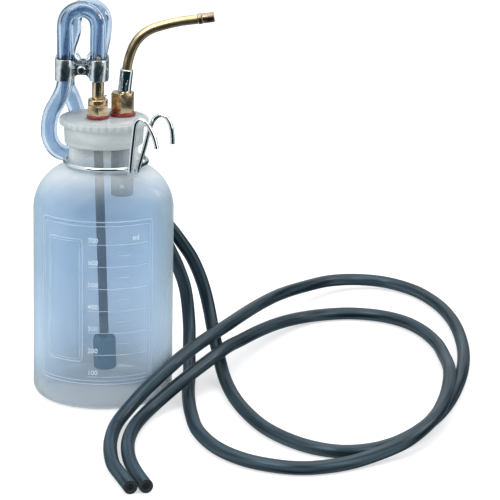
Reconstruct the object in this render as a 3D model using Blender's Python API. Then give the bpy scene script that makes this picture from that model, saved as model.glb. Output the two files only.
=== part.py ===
"""Collection bottle set of a hand vacuum pump kit: a one-litre bottle, a screw cap with two brass
fittings, a clamped clear hose, a bent outlet tube, a wire holder and two loose rubber hoses.

Metres, +Z up. The bottle's axis is Z, and its base stands at z = 0. -Y is the front.
"""

import math

import bmesh
import bpy
from mathutils import Matrix, Vector

MM = 0.001
GAP = 0.3 * MM  # kept between pieces that touch

# Bottle
BOTTLE_RADIUS = 47.0 * MM
WALL = 1.2 * MM
HEEL_RADIUS = 8.0 * MM
SHOULDER_RADIUS = 32.0 * MM
SHOULDER_START = 128.5 * MM
NECK_RADIUS = 23.1 * MM
THREAD_RADIUS = 23.9 * MM
THREAD_PITCH = 4.0 * MM
MOUTH_HEIGHT = 186.0 * MM

# Cap
CAP_RADIUS = 29.75 * MM
CAP_TOOTH_DEPTH = 0.9 * MM
CAP_TEETH = 36
CAP_TOP = 190.5 * MM
CAP_FLANGE = 4.0 * MM
CAP_PLATE = 2.5 * MM
SKIRT_RADIUS_TOP = 26.7 * MM
SKIRT_RADIUS_BOTTOM = 26.0 * MM
SKIRT_BOTTOM = 173.5 * MM
CAP_BORE = 24.4 * MM

# Fittings, each on its own axis through the cap
SUCTION_AXIS = Vector((-3.9, -2.9, 0.0)) * MM
OUTLET_AXIS = Vector((12.0, 7.2, 0.0)) * MM
WASHER_THICKNESS = 1.7 * MM
SUCTION_HEX = 13.0 * MM
SUCTION_HEX_HEIGHT = 6.7 * MM
SUCTION_THREAD = 4.0 * MM
COLUMN_RADIUS = 4.0 * MM
COLUMN_TOP = 215.4 * MM
BARB_TIP = 232.0 * MM
OUTLET_HEX = 14.1 * MM
OUTLET_HEX_HEIGHT = 13.4 * MM
OUTLET_THREAD = 4.6 * MM
TUBE_LEAN = math.radians(6.0)  # of the outlet tube's axis, towards +X
TUBE_RADIUS = 3.175 * MM
TUBE_BORE = 2.2 * MM
SLEEVE_RADIUS = 4.35 * MM

# Clear hose and its clamp
HOSE_RADIUS = 5.5 * MM
HOSE_BORE = 2.8 * MM
HOSE_SPACING = 21.7 * MM  # between the two legs of a loop
ROW_SPACING = 12.0 * MM  # between the front and the back loop
CLAMP_HEIGHT = 223.0 * MM
STRAP = 1.0 * MM

# Dip tube
DIP_TOP = Vector((-3.9, -2.9, 182.0)) * MM
DIP_BOTTOM = Vector((1.5, 0.4, 17.0)) * MM
DIP_RADIUS = 3.1 * MM
DIP_BORE = 2.2 * MM

# Wire holder
WIRE_RADIUS = 1.5 * MM
RING_RADIUS = 27.2 * MM
RING_CENTRE = Vector((1.5, -1.0, 161.3)) * MM

# Rubber hoses
RUBBER_RADIUS = 4.5 * MM
FLOOR_POINT = 22.0 * MM  # distance between two points along a hose


# ---------------------------------------------------------------- scene and materials

def clear_scene():
    for obj in list(bpy.data.objects):
        bpy.data.objects.remove(obj, do_unlink=True)


def material(name, colour, roughness, metallic=0.0):
    made = bpy.data.materials.new(name)
    made.use_nodes = True
    shader = made.node_tree.nodes["Principled BSDF"]
    shader.inputs["Base Color"].default_value = (*colour, 1.0)
    shader.inputs["Roughness"].default_value = roughness
    shader.inputs["Metallic"].default_value = metallic
    return made


def object_of(name, bm, look, smooth_angle=35.0, frame=None):
    """Closes a bmesh into a named object whose faces point out, and places it on its frame."""
    bmesh.ops.recalc_face_normals(bm, faces=bm.faces)
    mesh = bpy.data.meshes.new(name)
    bm.to_mesh(mesh)
    bm.free()
    mesh.materials.append(look)
    mesh.shade_smooth()
    mesh.set_sharp_from_angle(angle=math.radians(smooth_angle))
    made = bpy.data.objects.new(name, mesh)
    if frame:
        made.matrix_world = frame
    bpy.context.scene.collection.objects.link(made)
    return made


def carry(leader, *others):
    """Parents objects to the one that leads their body, and leaves them where they are."""
    bpy.context.view_layer.update()
    for name in others:
        child = bpy.data.objects[name]
        child.parent = bpy.data.objects[leader]
        child.matrix_parent_inverse = bpy.data.objects[leader].matrix_world.inverted()


# ---------------------------------------------------------------- shape makers

def add_turned(bm, profile, sides, turn=0.0):
    """Adds the solid that a closed (radius, height) outline makes round Z. Points on the axis become poles."""
    rings = []
    for radius, height in profile:
        if radius < 1e-7:
            rings.append([bm.verts.new((0.0, 0.0, height))] * sides)
            continue
        rings.append([
            bm.verts.new((
                radius * math.cos(turn + math.tau * i / sides),
                radius * math.sin(turn + math.tau * i / sides),
                height,
            ))
            for i in range(sides)
        ])
    for k, ring in enumerate(rings):
        following = rings[(k + 1) % len(rings)]
        for i in range(sides):
            j = (i + 1) % sides
            corners = []
            for corner in (ring[i], ring[j], following[j], following[i]):
                if corner not in corners:
                    corners.append(corner)
            if len(corners) > 2:
                bm.faces.new(corners)


def turned(name, profile, sides, look, frame=None, turn=0.0, smooth_angle=35.0):
    bm = bmesh.new()
    add_turned(bm, profile, sides, turn)
    return object_of(name, bm, look, smooth_angle, frame)


def extruded(name, outline, low, high, look, frame=None):
    """A prism on a closed (x, y) outline from height low to high."""
    bm = bmesh.new()
    rings = [[bm.verts.new((x, y, z)) for x, y in outline] for z in (low, high)]
    bm.faces.new(rings[0])
    bm.faces.new(rings[1])
    for i in range(len(outline)):
        j = (i + 1) % len(outline)
        bm.faces.new((rings[0][i], rings[0][j], rings[1][j], rings[1][i]))
    return object_of(name, bm, look, 35.0, frame)


def hexagon(name, across_flats, low, high, bore, look, frame=None, turn=0.0):
    """A hexagonal nut blank with chamfered corners and a round hole."""
    corner = across_flats / math.sqrt(3)
    chamfer = 0.06 * across_flats
    body = turned(name, [
        (0.0, low), (corner, low), (corner, high), (0.0, high),
    ], 6, look, frame, turn)
    rounding = turned(name + "_chamfer", [
        (0.0, low - MM),
        (across_flats / 2, low - MM),
        (corner + MM, low + chamfer),
        (corner + MM, high - chamfer),
        (across_flats / 2 + 0.1 * MM, high + 0.2 * MM),
        (0.0, high + 0.2 * MM),
    ], 24, look, frame)
    join(body, rounding, "INTERSECT")
    if bore:
        cut(body, turned(name + "_bore", [
            (0.0, low - MM), (bore, low - MM), (bore, high + MM), (0.0, high + MM),
        ], 20, look, frame))
    return body


def join(body, other, how):
    """A Boolean of body with a helper that isn't rendered."""
    other.hide_render = True
    other.display_type = "WIRE"
    modifier = body.modifiers.new(other.name, "BOOLEAN")
    modifier.operation = how
    modifier.solver = "EXACT"
    modifier.object = other


def cut(body, cutter):
    join(body, cutter, "DIFFERENCE")


def frames_along(points):
    """One matrix for each point, with Z along the path and as little twist as possible."""
    made = []
    side = None
    for i, point in enumerate(points):
        ahead = points[min(i + 1, len(points) - 1)] - points[max(i - 1, 0)]
        ahead.normalize()
        if side is None:
            side = ahead.orthogonal().normalized()
        side = (side - ahead * side.dot(ahead)).normalized()
        across = ahead.cross(side)
        matrix = Matrix((side, across, ahead)).transposed().to_4x4()
        matrix.translation = point
        made.append(matrix)
    return made


def add_swept(bm, points, radii, sides):
    """Adds rings of vertices along points, one tube for each radius, and joins them to one wall."""
    frames = frames_along(points)
    tubes = []
    for radius in radii:
        tubes.append([
            [
                bm.verts.new(frame @ Vector((
                    radius * math.cos(math.tau * i / sides),
                    radius * math.sin(math.tau * i / sides),
                    0.0,
                )))
                for i in range(sides)
            ]
            for frame in frames
        ])
    for tube in tubes:
        for ring, following in zip(tube, tube[1:]):
            for i in range(sides):
                j = (i + 1) % sides
                bm.faces.new((ring[i], ring[j], following[j], following[i]))
    for end in (0, -1):
        if len(tubes) == 1:
            bm.faces.new(tubes[0][end])
            continue
        for i in range(sides):
            j = (i + 1) % sides
            bm.faces.new((tubes[0][end][i], tubes[0][end][j], tubes[1][end][j], tubes[1][end][i]))


def pipe(name, points, radii, sides, look, frame=None):
    """A swept rod (one radius) or open pipe (outer and inner radius)."""
    bm = bmesh.new()
    add_swept(bm, points, radii, sides)
    return object_of(name, bm, look, 60.0, frame)


def smooth_route(points, spacing):
    """A smooth curve through the points (Catmull-Rom, centripetal), with a point about every spacing."""
    ends = [2 * points[0] - points[1], *points, 2 * points[-1] - points[-2]]
    fine = []
    for a, b, c, d in zip(ends, ends[1:], ends[2:], ends[3:]):
        knots = [0.0]
        for p, q in ((a, b), (b, c), (c, d)):
            knots.append(knots[-1] + math.sqrt((q - p).length))
        for step in range(24):
            t = knots[1] + (knots[2] - knots[1]) * step / 24
            level = [a, b, c, d]
            for depth in (1, 2, 3):
                level = [
                    level[i].lerp(level[i + 1], (t - low) / (high - low))
                    for i, (low, high) in enumerate(spans(knots, depth))
                ]
            fine.append(level[0])
    fine.append(points[-1])
    return spaced(fine, spacing)


def spans(knots, depth):
    """The knot intervals of each pyramid level of a centripetal Catmull-Rom curve."""
    return {
        1: [(knots[0], knots[1]), (knots[1], knots[2]), (knots[2], knots[3])],
        2: [(knots[0], knots[2]), (knots[1], knots[3])],
        3: [(knots[1], knots[2])],
    }[depth]


def spaced(points, spacing):
    """Points at equal distances along a polyline, its two ends kept."""
    lengths = [0.0]
    for p, q in zip(points, points[1:]):
        lengths.append(lengths[-1] + (q - p).length)
    count = max(2, round(lengths[-1] / spacing))
    made = []
    k = 0
    for n in range(count + 1):
        wanted = lengths[-1] * n / count
        while k < len(points) - 2 and lengths[k + 1] < wanted:
            k += 1
        share = (wanted - lengths[k]) / (lengths[k + 1] - lengths[k])
        made.append(points[k].lerp(points[k + 1], share))
    return made


def arc(centre, radius, start, end, steps):
    """(x, y) points on an arc, angles in degrees, both ends included."""
    return [
        (
            centre[0] + radius * math.cos(math.radians(start + (end - start) * i / steps)),
            centre[1] + radius * math.sin(math.radians(start + (end - start) * i / steps)),
        )
        for i in range(steps + 1)
    ]


def in_mm(rows):
    return [Vector(row) * MM for row in rows]


# ---------------------------------------------------------------- bottle and cap

def shoulder_profile(inset, steps):
    """The dome from the wall up to the neck, its surface inset by that much."""
    centre = BOTTLE_RADIUS - SHOULDER_RADIUS
    radius = SHOULDER_RADIUS - inset
    reach = math.acos((NECK_RADIUS - inset - centre) / radius)
    return [
        (centre + radius * math.cos(reach * i / steps), SHOULDER_START + radius * math.sin(reach * i / steps))
        for i in range(steps + 1)
    ]


def heel_profile(inset, steps):
    """The rounded corner from the flat base up to the wall."""
    centre = BOTTLE_RADIUS - HEEL_RADIUS
    return arc((centre, HEEL_RADIUS), HEEL_RADIUS - inset, -90.0, 0.0, steps)


def thread_profile():
    """Two crests of the neck's screw thread, bottom to top."""
    made = []
    for turn in range(2):
        low = 176.2 * MM + turn * THREAD_PITCH
        made += [
            (NECK_RADIUS, low),
            (THREAD_RADIUS, low + 0.7 * MM),
            (THREAD_RADIUS, low + 1.3 * MM),
            (NECK_RADIUS, low + 2.0 * MM),
        ]
    return made


def make_bottle(look):
    outside = heel_profile(0.0, 4) + shoulder_profile(0.0, 7) + thread_profile()
    inside = heel_profile(WALL, 3) + shoulder_profile(WALL, 5)
    profile = [(0.0, 0.0)] + outside
    profile += [(NECK_RADIUS, MOUTH_HEIGHT), (NECK_RADIUS - WALL, MOUTH_HEIGHT)]
    profile += inside[::-1] + [(0.0, WALL)]
    return turned("bottle", profile, 48, look)


def make_gasket(look):
    low = MOUTH_HEIGHT + GAP
    high = CAP_TOP - CAP_PLATE - GAP
    inner = NECK_RADIUS - WALL + 0.1 * MM
    outer = CAP_BORE - GAP
    return turned("cap_gasket", [(inner, low), (outer, low), (outer, high), (inner, high)], 40, look)


def cap_rim():
    """The toothed outline of the cap's flange."""
    made = []
    for i in range(CAP_TEETH):
        for share, radius in (
            (0.0, CAP_RADIUS), (0.5, CAP_RADIUS), (0.6, CAP_RADIUS - CAP_TOOTH_DEPTH), (0.9, CAP_RADIUS - CAP_TOOTH_DEPTH),
        ):
            angle = math.tau * (i + share) / CAP_TEETH
            made.append((radius * math.cos(angle), radius * math.sin(angle)))
    return made


def make_cap(look):
    """A plate with a toothed flange and a skirt, and a hole for each fitting."""
    under = CAP_TOP - CAP_FLANGE
    cap = turned("cap", [
        (SKIRT_RADIUS_BOTTOM, SKIRT_BOTTOM),
        (SKIRT_RADIUS_TOP, under - 1.5 * MM),
        (CAP_RADIUS - 1.6 * MM, under + 0.4 * MM),
        (CAP_RADIUS - 1.6 * MM, CAP_TOP - 0.4 * MM),
        (CAP_RADIUS - 2.4 * MM, CAP_TOP),
        (0.0, CAP_TOP),
        (0.0, CAP_TOP - CAP_PLATE),
        (CAP_BORE, CAP_TOP - CAP_PLATE),
        (CAP_BORE, SKIRT_BOTTOM),
    ], 48, look)
    join(cap, extruded("cap_flange", cap_rim(), under, CAP_TOP - 0.4 * MM, look), "UNION")
    sprue = turned("cap_sprue", [
        (0.0, CAP_TOP - MM), (1.5 * MM, CAP_TOP - MM), (0.9 * MM, CAP_TOP + 2.4 * MM), (0.0, CAP_TOP + 2.4 * MM),
    ], 10, look, Matrix.Translation(Vector((4.2, -16.6, 0.0)) * MM))
    join(cap, sprue, "UNION")
    # The flange is a full plate, so the bore is cut again under the cap's top plate.
    cut(cap, turned("cap_bore", [
        (0.0, SKIRT_BOTTOM - MM), (CAP_BORE, SKIRT_BOTTOM - MM),
        (CAP_BORE, CAP_TOP - CAP_PLATE), (0.0, CAP_TOP - CAP_PLATE),
    ], 48, look))
    for name, axis, radius in (
        ("suction", SUCTION_AXIS, SUCTION_THREAD), ("outlet", OUTLET_AXIS, OUTLET_THREAD),
    ):
        cut(cap, turned(name + "_cap_hole", [
            (0.0, CAP_TOP - 5 * MM), (radius + GAP, CAP_TOP - 5 * MM), (radius + GAP, CAP_TOP + MM), (0.0, CAP_TOP + MM),
        ], 20, look, Matrix.Translation(axis)))
    return cap


# ---------------------------------------------------------------- suction fitting

def washer(name, axis, low, outer, inner, look, thickness=WASHER_THICKNESS):
    return turned(name, [
        (inner, low), (outer - 0.3 * MM, low), (outer, low + 0.3 * MM),
        (outer, low + thickness - 0.3 * MM), (outer - 0.3 * MM, low + thickness), (inner, low + thickness),
    ], 28, look, Matrix.Translation(axis))


def hex_seat():
    """The height at which a fitting's hexagon sits on its washer."""
    return CAP_TOP + GAP + WASHER_THICKNESS + GAP


def make_suction_fitting(brass, red, chrome):
    place = Matrix.Translation(SUCTION_AXIS)
    washer("suction_washer", SUCTION_AXIS, CAP_TOP + GAP, 7.5 * MM, SUCTION_THREAD + GAP, red)
    low = hex_seat()
    high = low + SUCTION_HEX_HEIGHT
    collar_top = high + 4.3 * MM
    bore = 1.1 * MM
    body = hexagon("suction_fitting", SUCTION_HEX, low, high, 0.0, brass, place, math.radians(-84.0))
    stem = turned("suction_stem", [
        (bore, 168.0 * MM), (1.5 * MM, 168.0 * MM), (1.5 * MM, 175.2 * MM), (SUCTION_THREAD, 176.2 * MM),
        (SUCTION_THREAD, high + 0.2 * MM), (3.7 * MM, high + 0.4 * MM), (3.7 * MM, collar_top),
        (COLUMN_RADIUS, collar_top + 0.3 * MM), (COLUMN_RADIUS, COLUMN_TOP - 0.5 * MM), (3.5 * MM, COLUMN_TOP),
        (2.1 * MM, COLUMN_TOP), (2.1 * MM, 224.0 * MM), (2.45 * MM, 224.6 * MM), (2.05 * MM, 228.0 * MM),
        (2.45 * MM, 228.6 * MM), (1.9 * MM, BARB_TIP), (bore, BARB_TIP),
    ], 20, brass, place)
    join(body, stem, "UNION")
    cut(body, turned("suction_bore", [
        (0.0, 160.0 * MM), (bore, 160.0 * MM), (bore, 240.0 * MM), (0.0, 240.0 * MM),
    ], 20, brass, place))
    make_vent_collar(high, collar_top, brass, chrome)
    hexagon("suction_lock_nut", SUCTION_HEX, CAP_TOP - CAP_PLATE - GAP - 4.0 * MM, CAP_TOP - CAP_PLATE - GAP,
            SUCTION_THREAD + GAP, brass, place)


def make_vent_collar(low, high, brass, chrome):
    """A ring that turns on the fitting, with a slot at the front and a ball-headed pin to turn it by."""
    place = Matrix.Translation(SUCTION_AXIS)
    collar = turned("vent_collar", [
        (3.7 * MM + GAP, low + GAP), (6.3 * MM, low + GAP), (6.6 * MM, low + GAP + 0.3 * MM),
        (6.6 * MM, high - GAP - 0.4 * MM), (6.2 * MM, high - GAP), (3.7 * MM + GAP, high - GAP),
    ], 28, brass, place)
    slot = turned("vent_slot", [
        (0.0, 3.0 * MM), (1.35 * MM, 3.0 * MM), (1.35 * MM, 9.0 * MM), (0.0, 9.0 * MM),
    ], 14, brass,
        Matrix.Translation(SUCTION_AXIS + Vector((0.0, 0.0, (low + high) / 2)))
        @ Matrix.Rotation(math.radians(-88.0), 4, "Z") @ Matrix.Rotation(math.radians(90.0), 4, "Y"))
    cut(collar, slot)
    foot = SUCTION_AXIS + Vector((3.6 * MM, -3.8 * MM, high - 2.2 * MM))
    lean = Matrix.Rotation(math.radians(14.0), 4, "Y")
    cut(collar, turned("vent_pin_hole", [
        (0.0, 0.0), (0.95 * MM, 0.0), (0.95 * MM, 6.0 * MM), (0.0, 6.0 * MM),
    ], 12, brass, Matrix.Translation(foot) @ lean))
    ball = [
        (1.2 * MM * math.sin(math.radians(a)), 5.4 * MM - 1.2 * MM * math.cos(math.radians(a)))
        for a in (36, 60, 90, 120, 150, 180)
    ]
    turned("vent_pin", [(0.0, GAP), (0.62 * MM, GAP), (0.62 * MM, ball[0][1]), *ball[:-1], (0.0, ball[-1][1])],
           12, chrome, Matrix.Translation(foot) @ lean)


# ---------------------------------------------------------------- outlet fitting and tube

def outlet_frame():
    """The outlet tube's own frame: its origin on the cap's fitting, its Z along the leaning tube."""
    lean = Matrix.Rotation(TUBE_LEAN, 4, "Y")
    return Matrix.Translation(OUTLET_AXIS + Vector((0.0, 0.0, 196.0 * MM))) @ lean


def make_outlet_fitting(brass, red):
    place = Matrix.Translation(OUTLET_AXIS)
    washer("outlet_washer", OUTLET_AXIS, CAP_TOP + GAP, 8.8 * MM, OUTLET_THREAD + GAP, red)
    low = hex_seat()
    high = low + OUTLET_HEX_HEIGHT
    body = hexagon("outlet_fitting", OUTLET_HEX, low, high, 0.0, brass, place, math.radians(-96.0))
    stem = turned("outlet_stem", [
        (0.0, 171.0 * MM), (OUTLET_THREAD, 171.0 * MM), (OUTLET_THREAD, low + MM), (0.0, low + MM),
    ], 20, brass, place)
    join(body, stem, "UNION")
    cut(body, turned("outlet_bore", [
        (0.0, 165.0 * MM), (1.8 * MM, 165.0 * MM), (1.8 * MM, 200.0 * MM), (0.0, 200.0 * MM),
    ], 16, brass, place))
    cut(body, turned("outlet_socket", [
        (0.0, 0.0), (SLEEVE_RADIUS + GAP, 0.0), (SLEEVE_RADIUS + GAP, 30.0 * MM), (0.0, 30.0 * MM),
    ], 24, brass, outlet_frame()))
    turned("outlet_lock_nut", [
        (OUTLET_THREAD + GAP, 184.0 * MM), (7.2 * MM, 184.0 * MM), (7.2 * MM, CAP_TOP - CAP_PLATE - GAP),
        (OUTLET_THREAD + GAP, CAP_TOP - CAP_PLATE - GAP),
    ], 24, brass, place)


def outlet_centreline():
    """The tube's centreline in its own frame: straight, then one bend, then nearly level."""
    start = [Vector((0.0, 0.0, GAP)), Vector((0.0, 0.0, 14.0 * MM)), Vector((0.0, 0.0, 27.0 * MM))]
    bend = in_mm([
        (0.6, 0.0, 33.5), (2.7, 0.0, 42.0), (6.5, 0.0, 48.8), (12.1, 0.0, 54.0),
        (19.8, 0.0, 57.8), (29.9, 0.0, 61.6), (42.6, 0.0, 65.0),
    ])
    return smooth_route(start + bend, 4.2 * MM)


def make_outlet_tube(brass, chrome, bronze):
    frame = outlet_frame()
    line = outlet_centreline()
    pipe("outlet_tube", line, (TUBE_RADIUS, TUBE_BORE), 12, brass, frame)
    sleeve_low = GAP
    turned("outlet_sleeve", [
        (TUBE_RADIUS + GAP, sleeve_low), (SLEEVE_RADIUS, sleeve_low), (SLEEVE_RADIUS, 25.3 * MM),
        (SLEEVE_RADIUS - 0.4 * MM, 25.8 * MM), (TUBE_RADIUS + GAP, 25.8 * MM),
    ], 24, chrome, frame)
    tip = line[-1]
    ahead = (line[-1] - line[-2]).normalized()
    along = ahead.to_track_quat("Z", "Y").to_matrix().to_4x4()
    along.translation = tip
    along = frame @ along
    turned("outlet_tip_ring", [
        (TUBE_BORE, GAP), (3.3 * MM, GAP), (3.6 * MM, GAP + 0.3 * MM), (3.6 * MM, 2.8 * MM),
        (3.3 * MM, 3.1 * MM), (TUBE_BORE, 3.1 * MM),
    ], 20, bronze, along)
    turned("outlet_tip_sleeve", [
        (TUBE_BORE, 3.4 * MM), (3.35 * MM, 3.4 * MM), (3.35 * MM, 10.8 * MM), (3.1 * MM, 11.1 * MM), (TUBE_BORE, 11.1 * MM),
    ], 20, bronze, along)


def make_float_valve(teal, white, red):
    """Under the outlet: a cage whose float rises with the liquid and closes the way out."""
    place = Matrix.Translation(OUTLET_AXIS)
    cage = turned("float_cage", [
        (3.0 * MM, 136.0 * MM), (7.0 * MM, 136.0 * MM), (7.6 * MM, 136.6 * MM), (7.6 * MM, 183.0 * MM),
        (7.2 * MM, 183.6 * MM), (OUTLET_THREAD + GAP, 183.6 * MM), (OUTLET_THREAD + GAP, 172.0 * MM),
        (6.3 * MM, 170.0 * MM), (6.3 * MM, 138.0 * MM), (3.0 * MM, 138.0 * MM),
    ], 28, teal, place)
    for i in range(3):
        turn = Matrix.Rotation(math.tau * (i + 0.25) / 3, 4, "Z")
        cut(cage, turned(f"float_window_{i}", [
            (0.0, 2.0 * MM), (1.6 * MM, 2.0 * MM), (1.6 * MM, 12.0 * MM), (0.0, 12.0 * MM),
        ], 10, teal,
            Matrix.Translation(OUTLET_AXIS + Vector((0.0, 0.0, 143.0 * MM))) @ turn
            @ Matrix.Rotation(math.radians(90.0), 4, "Y")))
    float_radius = 5.6 * MM
    turned("float_ball", [
        (0.0, 138.3 * MM), (3.4 * MM, 139.2 * MM), (float_radius, 141.5 * MM), (float_radius, 150.0 * MM),
        (3.6 * MM, 152.6 * MM), (1.6 * MM, 154.4 * MM), (0.0, 155.0 * MM),
    ], 20, white, place)
    turned("float_seal", [
        (2.2 * MM, 168.6 * MM), (4.4 * MM, 168.6 * MM), (4.4 * MM, 170.7 * MM), (2.2 * MM, 170.7 * MM),
    ], 20, red, place)


# ---------------------------------------------------------------- dip tube and foot valve

def dip_frame(distance_up):
    """A frame on the leaning dip tube, that far above the foot's underside."""
    ahead = (DIP_TOP - DIP_BOTTOM).normalized()
    made = ahead.to_track_quat("Z", "Y").to_matrix().to_4x4()
    made.translation = DIP_BOTTOM + ahead * distance_up
    return made


def make_dip_tube(grey, teal, steel):
    frame = dip_frame(0.0)
    top = (DIP_TOP - DIP_BOTTOM).length
    turned("dip_tube", [
        (DIP_BORE, 13.4 * MM), (DIP_RADIUS, 13.4 * MM), (DIP_RADIUS, top - 7.5 * MM), (DIP_BORE, top - 7.5 * MM),
    ], 16, grey, frame)
    body = turned("foot_valve_body", [
        (5.4 * MM, 0.0), (7.1 * MM, 0.0), (7.7 * MM, 0.7 * MM), (7.7 * MM, 19.5 * MM), (7.0 * MM, 22.0 * MM),
        (DIP_RADIUS + GAP, 22.0 * MM), (DIP_RADIUS + GAP, 13.0 * MM), (1.8 * MM, 13.0 * MM), (1.8 * MM, 11.0 * MM),
        (5.4 * MM, 8.6 * MM),
    ], 28, teal, frame)
    for i in range(4):
        turn = Matrix.Rotation(math.tau * (i + 0.5) / 4, 4, "Z")
        low = turned(f"foot_groove_{i}", [
            (0.0, 18.6 * MM), (0.8 * MM, 18.6 * MM), (0.8 * MM, 24.0 * MM), (0.0, 24.0 * MM),
        ], 8, teal, frame @ turn @ Matrix.Translation((6.6 * MM, 0.0, 0.0)))
        cut(body, low)
    ball_radius = 3.0 * MM
    turned("foot_valve_ball", [(0.0, -ball_radius)] + [
        (ball_radius * math.sin(math.radians(a)), -ball_radius * math.cos(math.radians(a)))
        for a in range(30, 180, 30)
    ] + [(0.0, ball_radius)], 16, steel, frame @ Matrix.Translation((0.0, 0.0, 5.1 * MM)))
    turned("foot_valve_plug", [
        (2.0 * MM, 0.3 * MM), (5.1 * MM, 0.3 * MM), (5.1 * MM, 4.0 * MM), (3.6 * MM, 4.0 * MM), (2.0 * MM, 2.4 * MM),
    ], 20, teal, frame)


# ---------------------------------------------------------------- clear hose and clamp

def clear_hose_route():
    """From the barb, over the front loop, down behind the neck, up again and over the back loop."""
    right, front = SUCTION_AXIS.x, SUCTION_AXIS.y
    left, back = right - HOSE_SPACING, front + ROW_SPACING
    mid, reach = (left + right) / 2, HOSE_SPACING / 2

    def loop(x, radius, height):
        return [
            (x + radius * math.cos(math.radians(a)), height + radius * math.sin(math.radians(a)))
            for a in range(0, 181, 30)
        ]

    up = [Vector((right, front, z * MM)) for z in (215.9, 225.0, 235.0, 244.0)]
    over = [Vector((x, front, z)) for x, z in loop(mid, reach, 252.5 * MM)]
    down = [Vector((left, front, z * MM)) for z in (244.0, 235.0, 225.0, 215.6)]
    hanging = in_mm([
        (-27.2, -0.4, 208.0), (-31.3, 5.0, 199.0), (-35.6, 11.2, 190.0), (-37.8, 17.7, 178.5), (-37.0, 24.7, 168.0),
        (-32.8, 30.5, 160.2), (-26.6, 34.6, 157.4), (-20.6, 36.2, 160.8), (-17.6, 35.2, 168.6), (-17.9, 32.8, 178.5),
        (-20.2, 31.2, 188.5), (-23.2, 24.0, 199.5), (-25.3, 14.0, 208.0),
    ])
    # The back loop leans a little to the right above the clamp.
    up_again = [
        Vector((left + x * MM, back, z * MM))
        for x, z in ((0.0, 214.6), (0.0, 222.0), (0.0, 230.0), (1.1, 236.0), (3.0, 241.5), (4.5, 247.5))
    ]
    over_again = [Vector((x, back, z)) for x, z in reversed(loop(mid + 3.8 * MM, reach - 0.8 * MM, 253.2 * MM))]
    last = [
        Vector((right + x * MM, back, z * MM))
        for x, z in ((2.6, 245.0), (1.2, 237.0), (0.0, 230.0), (0.0, 222.0), (0.0, 213.5))
    ]
    return smooth_route(up + over + down + hanging + up_again + over_again + last, 5.6 * MM)


def strap_outline(back):
    """The outline of a clamp strap seen from above: two half-round saddles and the flat web between them."""
    right, front = SUCTION_AXIS.x, SUCTION_AXIS.y
    left = right - HOSE_SPACING
    row = front + (ROW_SPACING if back else 0.0)
    sign = 1.0 if back else -1.0
    inner, outer = HOSE_RADIUS + GAP, HOSE_RADIUS + GAP + STRAP
    leg = row - sign * (ROW_SPACING / 2 - HOSE_RADIUS - 0.1 * MM + 5.0 * MM)

    def saddle(x, radius, start, end):
        return arc((x, row), radius, sign * start, sign * end, 8)

    tilt = 14.0  # the web lies this many degrees past the saddle's half circle
    outline = [(left - outer, leg)] + saddle(left, outer, 180.0, tilt)
    outline += saddle(right, outer, 180.0 - tilt, 0.0) + [(right + outer, leg)]
    outline += [(right + inner, leg)] + saddle(right, inner, 0.0, 180.0 - tilt + 8.0)
    outline += saddle(left, inner, tilt - 8.0, 180.0) + [(left - inner, leg)]
    return outline


def make_clamp(chrome, steel):
    """Two saddle straps round four stretches of hose, drawn together by a bolt and a wing nut."""
    right, front = SUCTION_AXIS.x, SUCTION_AXIS.y
    mid = right - HOSE_SPACING / 2
    back_row = front + ROW_SPACING
    half = 7.2 * MM
    bolt_radius = 2.0 * MM
    for name, back, row in (("clamp_front_strap", False, front), ("clamp_back_strap", True, back_row)):
        strap = extruded(name, strap_outline(back), CLAMP_HEIGHT - half, CLAMP_HEIGHT + half, chrome)
        for side in (-1.0, 1.0):
            # A notch above and below the web gives the strap its waist.
            notch = [(-8.2 * MM, 8.0 * MM), (-2.9 * MM, 3.4 * MM), (2.9 * MM, 3.4 * MM), (8.2 * MM, 8.0 * MM)]
            turn = Matrix.Rotation(math.radians(90.0 * side), 4, "X")
            cut(strap, extruded(f"{name}_notch_{side:+.0f}".replace("+", "up").replace("-", "down"), notch,
                                -9.0 * MM, 9.0 * MM, chrome, Matrix.Translation((mid, row, CLAMP_HEIGHT)) @ turn))
        cut(strap, turned(name + "_hole", [
            (0.0, -9.0 * MM), (bolt_radius + GAP, -9.0 * MM), (bolt_radius + GAP, 9.0 * MM), (0.0, 9.0 * MM),
        ], 14, chrome, Matrix.Translation((mid, row, CLAMP_HEIGHT)) @ Matrix.Rotation(math.radians(90.0), 4, "X")))
    web = 2.4 * MM  # from a row's middle to its web's outer face
    across = Matrix.Translation((mid, 0.0, CLAMP_HEIGHT)) @ Matrix.Rotation(math.radians(-90.0), 4, "X")
    head = front - web - GAP
    turned("clamp_bolt", [
        (0.0, head - 1.1 * MM), (1.9 * MM, head - 1.6 * MM), (2.9 * MM, head - 1.1 * MM), (3.1 * MM, head),
        (bolt_radius, head), (bolt_radius, back_row + web + 8.0 * MM), (0.0, back_row + web + 8.0 * MM),
    ], 16, steel, across)
    washer_low = back_row + web + GAP
    turned("clamp_washer", [
        (bolt_radius + GAP, washer_low), (4.2 * MM, washer_low), (4.2 * MM, washer_low + 0.8 * MM),
        (bolt_radius + GAP, washer_low + 0.8 * MM),
    ], 20, steel, across)
    nut_low = washer_low + 0.8 * MM + GAP
    nut = turned("clamp_wing_nut", [
        (bolt_radius + GAP, nut_low), (4.3 * MM, nut_low), (3.4 * MM, nut_low + 5.0 * MM),
        (bolt_radius + GAP, nut_low + 5.0 * MM),
    ], 20, chrome, across)
    wing = [(2.8, 0.4), (8.2, 3.2), (10.6, 6.6), (9.4, 8.4), (6.2, 6.6), (2.9, 4.2)]
    for side in (-1.0, 1.0):
        outline = [(side * x * MM, nut_low + y * MM) for x, y in wing]
        blade = extruded(f"wing_{side:+.0f}".replace("+", "right").replace("-", "left"), outline,
                         -0.75 * MM, 0.75 * MM, chrome,
                         Matrix.Translation((mid, 0.0, CLAMP_HEIGHT)) @ Matrix.Rotation(math.radians(-57.0 * side), 4, "Y"))
        join(nut, blade, "UNION")
    return nut


# ---------------------------------------------------------------- wire holder

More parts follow.
